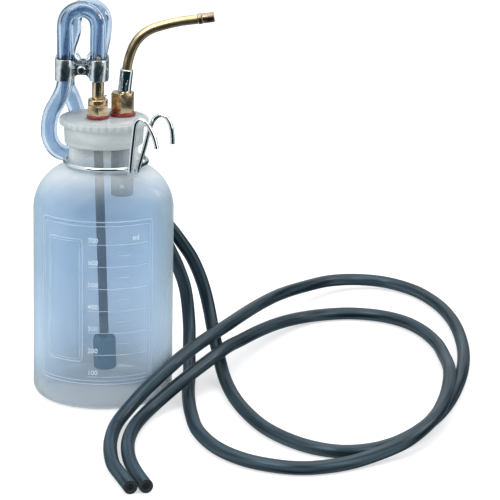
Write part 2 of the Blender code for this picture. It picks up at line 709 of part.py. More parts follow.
def holder_route():
    """One wire: the left hook, its leg, round the neck, and out to the right leg and hook."""
    left = in_mm([
        (36.9, -49.0, 181.0), (35.4, -48.0, 186.9), (33.3, -46.9, 191.9), (30.7, -45.4, 196.1), (28.0, -44.1, 198.3),
        (25.2, -43.0, 198.9), (23.0, -42.1, 197.0), (22.0, -41.5, 192.4), (21.3, -41.0, 186.0), (20.5, -40.6, 178.5),
        (19.8, -40.3, 170.5), (19.3, -39.7, 165.0), (18.9, -38.2, 162.2), (18.4, -35.6, 161.3), (17.6, -31.0, 161.3),
    ])
    right = in_mm([
        (47.0, -46.6, 184.0), (46.8, -46.2, 188.5), (46.2, -45.6, 193.4), (45.0, -44.8, 197.6), (42.9, -43.7, 200.8),
        (40.2, -42.5, 202.0), (37.2, -41.4, 201.3), (34.4, -40.5, 198.4), (32.3, -39.8, 193.7), (30.6, -39.3, 187.7),
        (28.9, -38.9, 180.9), (27.0, -38.5, 174.0), (25.3, -38.3, 168.0), (24.2, -37.6, 163.8), (23.4, -34.8, 161.5),
        (22.6, -29.5, 161.3),
    ])
    start, sweep, steps = math.radians(-54.0), math.radians(-334.0), 26
    ring = [
        RING_CENTRE + RING_RADIUS * Vector((math.cos(a), math.sin(a), 0.0))
        for a in (start + sweep * i / steps for i in range(steps + 1))
    ]
    return smooth_route(left + ring + right[::-1], 4.4 * MM)


# ---------------------------------------------------------------- loose rubber hoses

RUBBER_HOSE_1 = [
    (27.7, -205.3, 4.8), (21.2, -184.6, 4.8), (15.4, -165.2, 4.8), (12.7, -146.7, 4.8), (11.2, -118.7, 4.8),
    (13.8, -88.3, 6.5), (22.6, -63.9, 11.5), (31.4, -47.7, 17.2), (39.7, -36.4, 22.4), (47.5, -24.0, 26.4),
    (54.1, -9.1, 28.4), (62.2, 8.6, 29.7), (71.9, 29.0, 31.0), (83.2, 57.2, 30.6), (92.2, 89.5, 27.6),
    (105.6, 134.9, 23.2), (121.2, 181.6, 17.8), (139.6, 221.3, 12.6), (160.0, 249.3, 9.6), (180.7, 261.6, 7.4),
    (201.4, 261.5, 5.8), (221.9, 244.9, 4.9), (237.8, 210.8, 4.8), (247.6, 166.1, 4.8), (251.1, 110.1, 4.8),
    (249.2, 63.0, 4.8), (242.6, 14.5, 4.8), (231.0, -36.0, 4.8), (219.0, -69.1, 4.8), (205.5, -96.8, 4.8),
    (190.4, -117.3, 4.8), (175.1, -128.4, 4.8), (158.4, -131.7, 4.8), (141.8, -125.3, 4.8), (126.8, -111.8, 4.8),
    (110.9, -88.3, 4.8), (98.5, -57.2, 4.8), (89.5, -24.0, 4.8), (82.8, 13.7, 5.6), (79.2, 37.7, 9.6),
    (76.8, 51.5, 15.1), (74.0, 62.0, 23.2), (70.5, 72.0, 38.0), (67.1, 75.5, 50.9), (62.8, 76.0, 63.3),
    (57.9, 74.0, 74.5), (52.5, 70.0, 84.0), (43.0, 66.5, 97.7), (32.8, 64.8, 109.5), (18.6, 64.8, 117.4),
    (2.6, 65.5, 118.4), (-12.2, 66.5, 112.3), (-22.5, 67.5, 100.5), (-27.3, 68.5, 85.2), (-27.0, 69.5, 67.0),
    (-23.0, 72.0, 48.0), (-20.5, 78.0, 30.0), (-18.0, 87.5, 15.5), (-16.5, 100.0, 6.8),
]

RUBBER_HOSE_2 = [
    (37.2, -203.0, 4.8), (29.4, -176.0, 4.8), (24.2, -149.3, 4.8), (22.5, -117.0, 4.8), (25.7, -86.2, 4.8),
    (32.6, -60.1, 5.6), (41.9, -42.2, 9.4), (51.4, -26.8, 13.6), (60.2, -10.5, 16.4), (68.7, 5.1, 18.6),
    (77.4, 22.1, 20.5), (84.5, 41.0, 20.2), (92.2, 65.4, 17.0), (106.0, 103.7, 12.9), (121.0, 137.4, 9.0),
    (136.0, 160.3, 6.2), (152.0, 173.5, 4.9), (172.9, 179.0, 4.8), (194.9, 174.1, 4.8), (211.5, 160.8, 4.8),
    (223.7, 139.3, 4.8), (233.0, 107.3, 4.8), (236.4, 67.6, 6.8), (236.7, 35.7, 11.4), (236.2, 13.2, 14.3),
    (234.3, -13.1, 15.0), (229.5, -48.3, 14.6), (222.5, -76.4, 12.6), (210.4, -105.9, 10.8), (197.8, -125.1, 8.6),
    (181.7, -139.2, 6.2), (163.1, -153.1, 4.8), (144.7, -162.3, 4.8), (132.1, -164.5, 4.8), (119.6, -162.4, 4.8),
    (99.9, -152.6, 4.8), (81.3, -131.6, 4.8), (67.2, -97.2, 4.8), (61.5, -60.8, 4.8), (59.1, -29.8, 4.8),
    (58.3, -6.0, 4.9), (58.3, 14.1, 5.2), (58.1, 32.0, 7.1), (57.5, 44.0, 12.0), (57.3, 53.0, 18.6),
    (57.1, 60.0, 27.0), (56.3, 64.5, 35.9), (55.1, 67.5, 45.8), (53.2, 68.5, 55.6), (49.5, 67.0, 67.0),
    (44.9, 62.5, 79.0), (37.8, 58.0, 92.6), (25.5, 55.5, 102.0), (10.0, 55.0, 105.6), (-5.5, 56.0, 102.2),
    (-18.0, 57.5, 92.8), (-25.5, 59.0, 79.3), (-29.0, 60.0, 65.0), (-31.0, 61.0, 50.0), (-32.5, 66.0, 32.0),
    (-33.0, 77.0, 15.5), (-33.0, 91.0, 6.4),
]


def rubber_hose(name, points, look):
    """A loose hose as a curve with a round bevel, laid on the floor and leant on the bottle's back."""
    line = smooth_route(in_mm(points), FLOOR_POINT)
    curve = bpy.data.curves.new(name, "CURVE")
    curve.dimensions = "3D"
    curve.bevel_depth = RUBBER_RADIUS
    curve.bevel_resolution = 2
    curve.use_fill_caps = True
    spline = curve.splines.new("POLY")
    spline.points.add(len(line) - 1)
    for point, place in zip(spline.points, line):
        point.co = (*place, 1.0)
    curve.materials.append(look)
    made = bpy.data.objects.new(name, curve)
    bpy.context.scene.collection.objects.link(made)
    return made


# ---------------------------------------------------------------- the whole set

def main():
    clear_scene()
    bottle_look = material("milky_polyethylene", (0.70, 0.79, 0.88), 0.35)
    cap_look = material("white_polyethylene", (0.78, 0.80, 0.82), 0.4)
    brass = material("brass", (0.78, 0.58, 0.32), 0.25, 1.0)
    bronze = material("bronze", (0.45, 0.32, 0.18), 0.35, 1.0)
    chrome = material("chrome", (0.80, 0.83, 0.85), 0.12, 1.0)
    steel = material("steel", (0.55, 0.57, 0.58), 0.3, 1.0)
    red = material("red_fibre", (0.45, 0.02, 0.03), 0.5)
    teal = material("teal_plastic", (0.02, 0.12, 0.18), 0.4)
    grey = material("grey_plastic", (0.35, 0.38, 0.42), 0.45)
    clear = material("clear_vinyl", (0.30, 0.50, 0.72), 0.15)
    rubber = material("black_rubber", (0.03, 0.04, 0.045), 0.6)

    make_bottle(bottle_look)
    make_gasket(grey)
    make_cap(cap_look)
    make_suction_fitting(brass, red, chrome)
    make_outlet_fitting(brass, red)
    make_outlet_tube(brass, chrome, bronze)
    make_float_valve(teal, cap_look, red)
    make_dip_tube(grey, teal, steel)
    pipe("clear_hose", clear_hose_route(), (HOSE_RADIUS, HOSE_BORE), 10, clear)
    make_clamp(chrome, steel)
    pipe("wire_holder", holder_route(), (WIRE_RADIUS,), 8, chrome)
    rubber_hose("rubber_hose_1", RUBBER_HOSE_1, rubber)
    rubber_hose("rubber_hose_2", RUBBER_HOSE_2, rubber)

    carry("bottle", "rubber_hose_1", "rubber_hose_2", "cap_gasket")
    carry("cap_gasket", "cap")
    carry("cap", "suction_fitting", "suction_washer", "suction_lock_nut", "outlet_fitting", "outlet_washer",
          "outlet_lock_nut", "float_cage", "float_seal", "float_ball", "dip_tube", "foot_valve_body",
          "foot_valve_plug", "foot_valve_ball", "clear_hose", "clamp_front_strap", "clamp_back_strap",
          "clamp_bolt", "clamp_washer", "clamp_wing_nut", "vent_collar", "outlet_tube", "wire_holder")
    carry("vent_collar", "vent_pin")
    carry("outlet_tube", "outlet_sleeve", "outlet_tip_ring", "outlet_tip_sleeve")


main()
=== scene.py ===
"""Looks for a collection bottle set: materials, fine shapes, light and camera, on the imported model.

Metres, +Z up, in the CAD's frame. The bottle's axis is Z, its base is at z = 0, and -Y is the front.
"""

import math

import bmesh
import bpy
from mathutils import Matrix, Vector


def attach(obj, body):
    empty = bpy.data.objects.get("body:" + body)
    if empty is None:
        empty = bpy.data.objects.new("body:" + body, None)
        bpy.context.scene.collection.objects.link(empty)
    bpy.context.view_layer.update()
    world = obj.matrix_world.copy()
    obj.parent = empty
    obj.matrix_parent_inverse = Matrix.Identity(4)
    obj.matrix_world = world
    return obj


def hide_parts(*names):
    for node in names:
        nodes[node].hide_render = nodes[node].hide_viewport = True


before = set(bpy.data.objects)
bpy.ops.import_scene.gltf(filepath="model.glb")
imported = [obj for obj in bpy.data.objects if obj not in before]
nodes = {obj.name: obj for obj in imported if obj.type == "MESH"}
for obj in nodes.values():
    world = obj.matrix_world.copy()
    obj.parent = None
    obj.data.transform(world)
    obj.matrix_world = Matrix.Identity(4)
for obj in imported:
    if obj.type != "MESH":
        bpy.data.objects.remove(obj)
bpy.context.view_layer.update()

MM = 0.001
BOTTLE_RADIUS = 47.0 * MM
SHOULDER_RADIUS = 32.0 * MM
SHOULDER_START = 128.5 * MM
NECK_RADIUS = 23.1 * MM
WALL = 1.2 * MM
CAP_TOP = 190.5 * MM
SUCTION = Vector((-3.9, -2.9, 0.0)) * MM
OUTLET = Vector((12.0, 7.2, 0.0)) * MM
HOSE_SPACING = 21.7 * MM
ROW_SPACING = 12.0 * MM
RUBBER_RADIUS = 4.5 * MM
# How far a finished surface lies inside the CAD solid that it stands for.
INSET = 0.02 * MM


# ---------------------------------------------------------------- camera, light and floor

def add_camera():
    data = bpy.data.cameras.new("camera")
    data.lens = 214.5
    data.sensor_width = 36.0
    data.clip_end = 20.0
    camera = bpy.data.objects.new("camera", data)
    camera.matrix_world = (
        Matrix.Translation((0.0984, -1.9291, 0.6286))
        @ Matrix.Rotation(math.radians(74.7), 4, "X")
        @ Matrix.Rotation(math.radians(1.01), 4, "Z")
    )
    bpy.context.scene.collection.objects.link(camera)
    bpy.context.scene.camera = camera


def add_area(name, place, target, size, power, colour=(1.0, 1.0, 1.0)):
    data = bpy.data.lights.new(name, "AREA")
    data.shape = "RECTANGLE"
    data.size, data.size_y = size
    data.energy = power
    data.color = colour
    lamp = bpy.data.objects.new(name, data)
    lamp.location = place
    lamp.rotation_euler = (Vector(target) - Vector(place)).to_track_quat("-Z", "Y").to_euler()
    lamp.visible_camera = False
    bpy.context.scene.collection.objects.link(lamp)


def add_world():
    """A studio fixed in the world: white behind the object and pale on matt surfaces.

    Mirrors see dark and white upright cards, and clear plastic sees fewer of them.
    """
    world = bpy.data.worlds.new("studio")
    bpy.context.scene.world = world
    world.use_nodes = True
    tree = world.node_tree
    tree.nodes.clear()
    new, link = tree.nodes.new, tree.links.new
    out = new("ShaderNodeOutputWorld")
    seen, plain, room = (new("ShaderNodeBackground") for _ in range(3))
    by_camera, by_matt = new("ShaderNodeMixShader"), new("ShaderNodeMixShader")
    by_clear = new("ShaderNodeMix")
    by_clear.data_type = "RGBA"
    path = new("ShaderNodeLightPath")
    coords = new("ShaderNodeTexCoord")
    split = new("ShaderNodeSeparateXYZ")
    around = new("ShaderNodeMath")
    around.operation = "ARCTAN2"
    turn, lift = new("ShaderNodeMapRange"), new("ShaderNodeMapRange")
    turn.inputs[1].default_value, turn.inputs[2].default_value = -math.pi, math.pi
    lift.inputs[1].default_value, lift.inputs[2].default_value = -1.0, 1.0
    band, through, height = (new("ShaderNodeValToRGB") for _ in range(3))
    both = new("ShaderNodeMix")
    both.data_type = "RGBA"
    both.blend_type = "LIGHTEN"
    both.inputs[0].default_value = 1.0
    dark, teal, grey, white = (0.006, 0.020, 0.027), (0.05, 0.10, 0.12), (0.50, 0.56, 0.58), (0.97, 0.99, 1.0)
    pale = (0.74, 0.80, 0.82)
    # The direction round Z, in degrees from +X: -90 is the front, 90 is behind.
    ramp(band, [((degrees + 180.0) / 360.0, colour) for degrees, colour in (
        (-180, pale), (-146, white), (-136, dark), (-26, dark), (-14, white), (2, white), (12, teal),
        (60, dark), (84, grey), (96, grey), (120, teal), (150, grey), (164, pale), (180, pale),
    )])
    ramp(through, [((degrees + 180.0) / 360.0, colour) for degrees, colour in (
        (-180, grey), (-150, grey), (-120, white), (-60, white), (-20, grey), (20, teal), (48, teal),
        (60, white), (120, white), (132, teal), (160, teal), (180, grey),
    )])
    ramp(height, [(0.0, (0.0, 0.0, 0.0)), (0.70, (0.0, 0.0, 0.0)), (0.78, white), (1.0, white)])
    seen.inputs[0].default_value = (0.98, 0.985, 0.99, 1.0)
    plain.inputs[0].default_value = (0.80, 0.83, 0.86, 1.0)
    link(coords.outputs["Generated"], split.inputs[0])
    link(split.outputs[1], around.inputs[0])
    link(split.outputs[0], around.inputs[1])
    link(around.outputs[0], turn.inputs[0])
    link(turn.outputs[0], band.inputs[0])
    link(turn.outputs[0], through.inputs[0])
    link(path.outputs["Is Transmission Ray"], by_clear.inputs[0])
    link(band.outputs[0], by_clear.inputs[6])
    link(through.outputs[0], by_clear.inputs[7])
    link(split.outputs[2], lift.inputs[0])
    link(lift.outputs[0], height.inputs[0])
    link(by_clear.outputs[2], both.inputs[6])
    link(height.outputs[0], both.inputs[7])
    link(both.outputs[2], room.inputs[0])
    link(path.outputs["Is Diffuse Ray"], by_matt.inputs[0])
    link(room.outputs[0], by_matt.inputs[1])
    link(plain.outputs[0], by_matt.inputs[2])
    link(path.outputs["Is Camera Ray"], by_camera.inputs[0])
    link(by_matt.outputs[0], by_camera.inputs[1])
    link(seen.outputs[0], by_camera.inputs[2])
    link(by_camera.outputs[0], out.inputs[0])


def ramp(node, stops):
    """Sets a colour ramp's stops, each (place, colour)."""
    elements = node.color_ramp.elements
    while len(elements) > 1:
        elements.remove(elements[-1])
    elements[0].position, elements[0].color = stops[0][0], (*stops[0][1], 1.0)
    for place, colour in stops[1:]:
        elements.new(place).color = (*colour, 1.0)


def set_tone():
    """Plain tone, so that a white ground stays white."""
    bpy.context.scene.view_settings.view_transform = "Standard"


def add_floor():
    mesh = bpy.data.meshes.new("floor")
    half = 3.0
    corners = [(-half, -half, 0), (half, -half, 0), (half, half, 0), (-half, half, 0)]
    mesh.from_pydata(corners, [], [(0, 1, 2, 3)])
    floor = bpy.data.objects.new("floor", mesh)
    bpy.context.scene.collection.objects.link(floor)
    made = bpy.data.materials.new("floor_paper")
    made.use_nodes = True
    shader = made.node_tree.nodes["Principled BSDF"]
    shader.inputs["Base Color"].default_value = (0.50, 0.505, 0.51, 1.0)
    shader.inputs["Roughness"].default_value = 0.9
    shader.inputs["Specular IOR Level"].default_value = 0.1
    shader.inputs["Emission Color"].default_value = (1.0, 1.0, 1.0, 1.0)
    shader.inputs["Emission Strength"].default_value = 0.56
    mesh.materials.append(made)
    floor.visible_glossy = False


# ---------------------------------------------------------------- materials

def look(
    name, dark, pale, rough=(0.3, 0.4), metallic=0.0, scale=300.0, stretch=(1.0, 1.0, 1.0), bump=0.1,
    coords="Object", fine=6.0, stops=(0.3, 0.7), **sockets,
):
    """A material whose colour, roughness and bump vary with noise, squeezed along each axis by stretch."""
    made = bpy.data.materials.new(name)
    made.use_nodes = True
    tree = made.node_tree
    shader = tree.nodes["Principled BSDF"]
    place = tree.nodes.new("ShaderNodeTexCoord")
    mapping = tree.nodes.new("ShaderNodeMapping")
    mapping.inputs["Scale"].default_value = stretch
    broad = tree.nodes.new("ShaderNodeTexNoise")
    broad.inputs["Scale"].default_value = scale
    broad.inputs["Detail"].default_value = 4.0
    grain = tree.nodes.new("ShaderNodeTexNoise")
    grain.inputs["Scale"].default_value = scale * fine
    grain.inputs["Detail"].default_value = 3.0
    colour = tree.nodes.new("ShaderNodeValToRGB")
    ramp(colour, [(stops[0], dark), (stops[1], pale)])
    polish = tree.nodes.new("ShaderNodeMapRange")
    polish.inputs[3].default_value, polish.inputs[4].default_value = rough
    lump = tree.nodes.new("ShaderNodeBump")
    lump.inputs["Strength"].default_value = bump
    lump.inputs["Distance"].default_value = 0.0003
    link = tree.links.new
    link(place.outputs[coords], mapping.inputs[0])
    link(mapping.outputs[0], broad.inputs["Vector"])
    link(mapping.outputs[0], grain.inputs["Vector"])
    link(broad.outputs["Fac"], colour.inputs[0])
    link(colour.outputs[0], shader.inputs["Base Color"])
    link(broad.outputs["Fac"], polish.inputs[0])
    link(polish.outputs[0], shader.inputs["Roughness"])
    link(grain.outputs["Fac"], lump.inputs["Height"])
    link(lump.outputs[0], shader.inputs["Normal"])
    shader.inputs["Metallic"].default_value = metallic
    for socket, value in sockets.items():
        shader.inputs[socket.replace("_", " ")].default_value = value
    return made


def see_through(made, facing, edge, back=None, neck=None):
    """Sets the share of what is behind that a material hides.

    facing and edge go with the angle of view. back is the share for the object's rear half and neck the one
    for its neck; both are fixed to the object, so a bottle with back set is opaque when seen from behind.
    """
    tree = made.node_tree
    shader = tree.nodes["Principled BSDF"]
    weight = tree.nodes.new("ShaderNodeLayerWeight")
    weight.inputs[0].default_value = 0.35
    span = tree.nodes.new("ShaderNodeMapRange")
    span.inputs[3].default_value = facing
    span.inputs[4].default_value = edge
    tree.links.new(weight.outputs["Facing"], span.inputs[0])
    hidden = span.outputs[0]
    if back:
        place = tree.nodes.new("ShaderNodeTexCoord")
        split = tree.nodes.new("ShaderNodeSeparateXYZ")
        rear = tree.nodes.new("ShaderNodeMapRange")
        rear.interpolation_type = "SMOOTHSTEP"
        rear.inputs[1].default_value = -6.0 * MM
        rear.inputs[2].default_value = 22.0 * MM
        rear.inputs[4].default_value = back
        most = tree.nodes.new("ShaderNodeMath")
        most.operation = "MAXIMUM"
        tree.links.new(place.outputs["Object"], split.inputs[0])
        tree.links.new(split.outputs[1], rear.inputs[0])
        tree.links.new(rear.outputs[0], most.inputs[0])
        tree.links.new(hidden, most.inputs[1])
        hidden = most.outputs[0]
        rise, more = tree.nodes.new("ShaderNodeMapRange"), tree.nodes.new("ShaderNodeMath")
        rise.interpolation_type = "SMOOTHSTEP"
        rise.inputs[1].default_value, rise.inputs[2].default_value = 146.0 * MM, 157.0 * MM
        rise.inputs[4].default_value = neck
        more.operation = "MAXIMUM"
        tree.links.new(split.outputs[2], rise.inputs[0])
        tree.links.new(rise.outputs[0], more.inputs[0])
        tree.links.new(hidden, more.inputs[1])
        hidden = more.outputs[0]
    tree.links.new(hidden, shader.inputs["Alpha"])
    return made


def tint_along(made, axis, colour, stops):
    """Mixes a colour in along an axis of the object, 0 across or 2 for height. stops are (place, share).

    The colour is fixed to the object and doesn't follow the view.
    """
    tree = made.node_tree
    shader = tree.nodes["Principled BSDF"]
    source = shader.inputs["Base Color"].links[0].from_socket
    place = tree.nodes.new("ShaderNodeTexCoord")
    split = tree.nodes.new("ShaderNodeSeparateXYZ")
    span = tree.nodes.new("ShaderNodeMapRange")
    low, high = stops[0][0], stops[-1][0]
    span.inputs[1].default_value, span.inputs[2].default_value = low, high
    share = tree.nodes.new("ShaderNodeValToRGB")
    ramp(share, [((at - low) / (high - low), (value, value, value)) for at, value in stops])
    blend = tree.nodes.new("ShaderNodeMix")
    blend.data_type = "RGBA"
    blend.inputs[7].default_value = (*colour, 1.0)
    link = tree.links.new
    link(place.outputs["Object"], split.inputs[0])
    link(split.outputs[axis], span.inputs[0])
    link(span.outputs[0], share.inputs[0])
    link(share.outputs[0], blend.inputs[0])
    link(source, blend.inputs[6])
    link(blend.outputs[2], shader.inputs["Base Color"])
    return made


def make_looks():
    milky = see_through(look(
        "bottle_polyethylene", (0.33, 0.51, 0.74), (0.45, 0.62, 0.80), (0.12, 0.24), 0.0, 18.0,
        (1.0, 1.0, 2.2), 0.05, fine=9.0, Specular_IOR_Level=0.38), 0.06, 0.90, 0.84, 0.14)
    # Painted shade: the body's sides are greyed towards their edges, darkest at the right edge (x = +46 mm)
    # and a little lighter at the left one, as the edges of a lit bottle look from the front.
    tint_along(milky, 0, (0.32, 0.41, 0.45), [
        (-46 * MM, 0.62), (-38 * MM, 0.35), (-28 * MM, 0.0), (30 * MM, 0.0), (39 * MM, 0.55), (46 * MM, 1.0)])
    # Painted light: a lighter, bluer band over the lower body, strongest about 34 mm up and gone by 88 mm.
    tint_along(milky, 2, (0.64, 0.78, 0.92), [
        (12 * MM, 0.0), (34 * MM, 0.50), (58 * MM, 0.40), (88 * MM, 0.0)])
    tint_along(milky, 2, (0.40, 0.44, 0.45), [(0.0, 0.90), (12 * MM, 0.70), (24 * MM, 0.15), (40 * MM, 0.0)])
    tint_along(milky, 2, (0.74, 0.79, 0.80), [
        (138 * MM, 0.0), (148 * MM, 0.55), (153 * MM, 0.95), (190 * MM, 1.0)])
    return {
        "bottle": milky,
        "emboss": see_through(look(
            "bottle_emboss", (0.42, 0.58, 0.74), (0.60, 0.72, 0.82), (0.18, 0.3), 0.0, 80.0, bump=0.05,
        ), 0.30, 0.7),
        "figures": see_through(look(
            "bottle_figures", (0.55, 0.68, 0.80), (0.72, 0.82, 0.90), (0.18, 0.3), 0.0, 80.0, bump=0.05,
        ), 0.55, 0.8),
        "cap": see_through(look(
            "cap_polyethylene", (0.38, 0.42, 0.43), (0.52, 0.56, 0.57), (0.24, 0.38), 0.0, 60.0,
            (1.0, 1.0, 2.5), 0.12, fine=10.0,
        ), 0.80, 0.96),
        "gasket": look(
            "gasket_foam", (0.50, 0.53, 0.56), (0.62, 0.65, 0.68), (0.6, 0.8), 0.0, 500.0, bump=0.3),
        "brass": look(
            "brass_turned", (0.66, 0.49, 0.29), (0.82, 0.63, 0.40), (0.20, 0.27), 1.0, 220.0,
            (1.0, 1.0, 2.0), 0.008),
        "brass_tube": look(
            "brass_drawn", (0.56, 0.42, 0.23), (0.76, 0.58, 0.34), (0.30, 0.40), 1.0, 160.0,
            (1.0, 1.0, 1.0), 0.02),
        "bronze": look(
            "bronze_tip", (0.26, 0.18, 0.12), (0.48, 0.35, 0.24), (0.22, 0.36), 1.0, 300.0,
            (6.0, 1.0, 1.0), 0.12),
        "chrome": look(
            "chrome_plate", (0.74, 0.80, 0.81), (0.88, 0.91, 0.92), (0.03, 0.09), 1.0, 90.0, bump=0.012),
        "strap": look(
            "chrome_pressed", (0.56, 0.64, 0.66), (0.92, 0.95, 0.95), (0.16, 0.34), 1.0, 320.0, bump=0.14),
        "steel": look(
            "steel_plain", (0.42, 0.44, 0.46), (0.62, 0.64, 0.66), (0.18, 0.34), 1.0, 350.0, bump=0.08),
        "red": look(
            "red_fibre", (0.15, 0.003, 0.008), (0.34, 0.008, 0.018), (0.22, 0.38), 0.0, 420.0, bump=0.15,
            Coat_Weight=0.4),
        "teal": look(
            "teal_plastic", (0.001, 0.040, 0.082), (0.003, 0.068, 0.125), (0.40, 0.55), 0.0, 200.0,
            bump=0.05, Specular_IOR_Level=0.15),
        "white": look(
            "white_plastic", (0.72, 0.73, 0.72), (0.84, 0.85, 0.84), (0.3, 0.45), 0.0, 200.0, bump=0.06),
        "grey": look(
            "grey_tube", (0.008, 0.022, 0.036), (0.022, 0.048, 0.072), (0.4, 0.55), 0.0, 150.0,
            (1.0, 1.0, 0.3), 0.06, Specular_IOR_Level=0.2),
        "vinyl": look(
            "clear_vinyl", (0.37, 0.49, 0.62), (0.52, 0.62, 0.73), (0.02, 0.07), 0.0, 70.0, bump=0.02,
            Transmission_Weight=1.0, IOR=1.46),
        "rubber": look(
            "black_rubber", (0.002, 0.006, 0.009), (0.034, 0.056, 0.072), (0.26, 0.42), 0.0, 1.0,
            (1.6, 11.0, 1.0), 0.22, coords="UV", fine=3.0, stops=(0.38, 0.68), Specular_IOR_Level=0.55,
            Specular_Tint=(0.62, 0.86, 1.0, 1.0)),
        "rubber_cut": look(
            "rubber_cut", (0.004, 0.005, 0.006), (0.02, 0.024, 0.028), (0.6, 0.8), 0.0, 900.0, bump=0.4),
    }


# ---------------------------------------------------------------- shape makers

def finish_mesh(name, bm, material, smooth_angle=40.0, place=None, bevel=0.0):
    bmesh.ops.recalc_face_normals(bm, faces=bm.faces)
    mesh = bpy.data.meshes.new(name)
    bm.to_mesh(mesh)
    bm.free()
    mesh.materials.append(material)
    mesh.shade_smooth()
    mesh.set_sharp_from_angle(angle=math.radians(smooth_angle))
    made = bpy.data.objects.new(name, mesh)
    if place:
        mesh.transform(place)
    bpy.context.scene.collection.objects.link(made)
    if bevel:
        add_bevel(made, bevel)
    return made


def add_bevel(piece, width, angle=38.0):
    modifier = piece.modifiers.new("edges", "BEVEL")
    modifier.width = width
    modifier.segments = 2
    modifier.limit_method = "ANGLE"
    modifier.angle_limit = math.radians(angle)
    modifier.harden_normals = True


def turned(name, profile, sides, material, place=None, smooth_angle=40.0, wave=None, bevel=0.0):
    """A solid of a closed (radius, height) outline turned round Z.

    wave(angle, radius, height) gives a new radius.
    """
    bm = bmesh.new()
    rings = []
    for radius, height in profile:
        if radius < 1e-7:
            rings.append([bm.verts.new((0.0, 0.0, height))] * sides)
            continue
        ring = []
        for i in range(sides):
            angle = math.tau * i / sides
            reach = wave(angle, radius, height) if wave else radius
            ring.append(bm.verts.new((reach * math.cos(angle), reach * math.sin(angle), height)))
        rings.append(ring)
    for k, ring in enumerate(rings):
        following = rings[(k + 1) % len(rings)]
        for i in range(sides):
            j = (i + 1) % sides
            corners = []
            for corner in (ring[i], ring[j], following[j], following[i]):
                if corner not in corners:
                    corners.append(corner)
            if len(corners) > 2:
                bm.faces.new(corners)
    return finish_mesh(name, bm, material, smooth_angle, place, bevel)


def frames_along(points):
    """One matrix for each point, with Z along the path and as little twist as possible."""
    made = []
    side = None
    for i, point in enumerate(points):
        ahead = points[min(i + 1, len(points) - 1)] - points[max(i - 1, 0)]
        ahead.normalize()
        if side is None:
            side = ahead.orthogonal().normalized()
        side = (side - ahead * side.dot(ahead)).normalized()
        matrix = Matrix((side, ahead.cross(side), ahead)).transposed().to_4x4()
        matrix.translation = point
        made.append(matrix)
    return made


def swept(name, points, sections, material, place=None, cap_material=None, smooth_angle=50.0):
    """A tube along points. sections is one closed (x, y) outline, or an outer and an inner one.

    Its UV map holds the length along in tenths of a metre, and the share of a turn round.
    """
    bm = bmesh.new()
    uv = bm.loops.layers.uv.new("UVMap")
    lengths = [0.0]
    for p, q in zip(points, points[1:]):
        lengths.append(lengths[-1] + (q - p).length)
    frames = frames_along(points)
    count = len(sections[0])
    tubes = [
        [[bm.verts.new(f @ Vector((x, y, 0.0))) for x, y in section] for f in frames]
        for section in sections
    ]
    for tube in tubes:
        for k in range(len(points) - 1):
            for i in range(count):
                j = (i + 1) % count
                face = bm.faces.new((tube[k][i], tube[k][j], tube[k + 1][j], tube[k + 1][i]))
                places = ((k, i), (k, i + 1), (k + 1, i + 1), (k + 1, i))
                for loop, (along, round_) in zip(face.loops, places):
                    loop[uv].uv = (lengths[along] * 10.0, round_ / count)
    for end in (0, -1):
        if len(tubes) == 1:
            ring = tubes[0][end]
            middle = bm.verts.new(frames[end].translation)
            for i in range(count):
                face = bm.faces.new((ring[i], ring[(i + 1) % count], middle))
                face.material_index = 1 if cap_material else 0
            continue
        for i in range(count):
            j = (i + 1) % count
            face = bm.faces.new((tubes[0][end][i], tubes[0][end][j], tubes[1][end][j], tubes[1][end][i]))
            face.material_index = 1 if cap_material else 0
    made = finish_mesh(name, bm, material, smooth_angle, place)
    if cap_material:
        made.data.materials.append(cap_material)
    return made


def circle(radius, sides, turn=0.0):
    return [
        (radius * math.cos(math.tau * i / sides + turn), radius * math.sin(math.tau * i / sides + turn))
        for i in range(sides)
    ]


def arc(centre, radius, start, end, steps):
    return [
        (
            centre[0] + radius * math.cos(math.radians(start + (end - start) * i / steps)),
            centre[1] + radius * math.sin(math.radians(start + (end - start) * i / steps)),
        )
        for i in range(steps + 1)
    ]


def smooth_route(points, spacing):
    """A centripetal Catmull-Rom curve through the points, with a point about every spacing."""
    ends = [2 * points[0] - points[1], *points, 2 * points[-1] - points[-2]]
    fine = []
    for four in zip(ends, ends[1:], ends[2:], ends[3:]):
        knots = [0.0]
        for p, q in zip(four, four[1:]):
            knots.append(knots[-1] + math.sqrt((q - p).length))
        for step in range(24):
            t = knots[1] + (knots[2] - knots[1]) * step / 24
            level = list(four)
            for depth in (1, 2, 3):
                level = [
                    level[i].lerp(level[i + 1], (t - low) / (high - low))
                    for i, (low, high) in enumerate(spans(knots, depth))
                ]
            fine.append(level[0])
    fine.append(points[-1])
    return spaced(fine, spacing)


def spans(knots, depth):
    if depth == 1:
        return [(knots[0], knots[1]), (knots[1], knots[2]), (knots[2], knots[3])]
    if depth == 2:
        return [(knots[0], knots[2]), (knots[1], knots[3])]
    return [(knots[1], knots[2])]


def spaced(points, spacing):
    lengths = [0.0]
    for p, q in zip(points, points[1:]):
        lengths.append(lengths[-1] + (q - p).length)
    count = max(2, round(lengths[-1] / spacing))
    made = []
    k = 0
    for n in range(count + 1):
        wanted = lengths[-1] * n / count
        while k < len(points) - 2 and lengths[k + 1] < wanted:
            k += 1
        made.append(points[k].lerp(points[k + 1], (wanted - lengths[k]) / (lengths[k + 1] - lengths[k])))
    return made


def in_mm(rows):
    return [Vector(row) * MM for row in rows]


def settle(piece, body, slot, *replaced):
    """Rides the piece on its body and hides the CAD nodes that it stands for. slot is not used."""
    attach(piece, body)
    if replaced:
        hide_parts(*replaced)
    return piece


# ---------------------------------------------------------------- rubber hoses

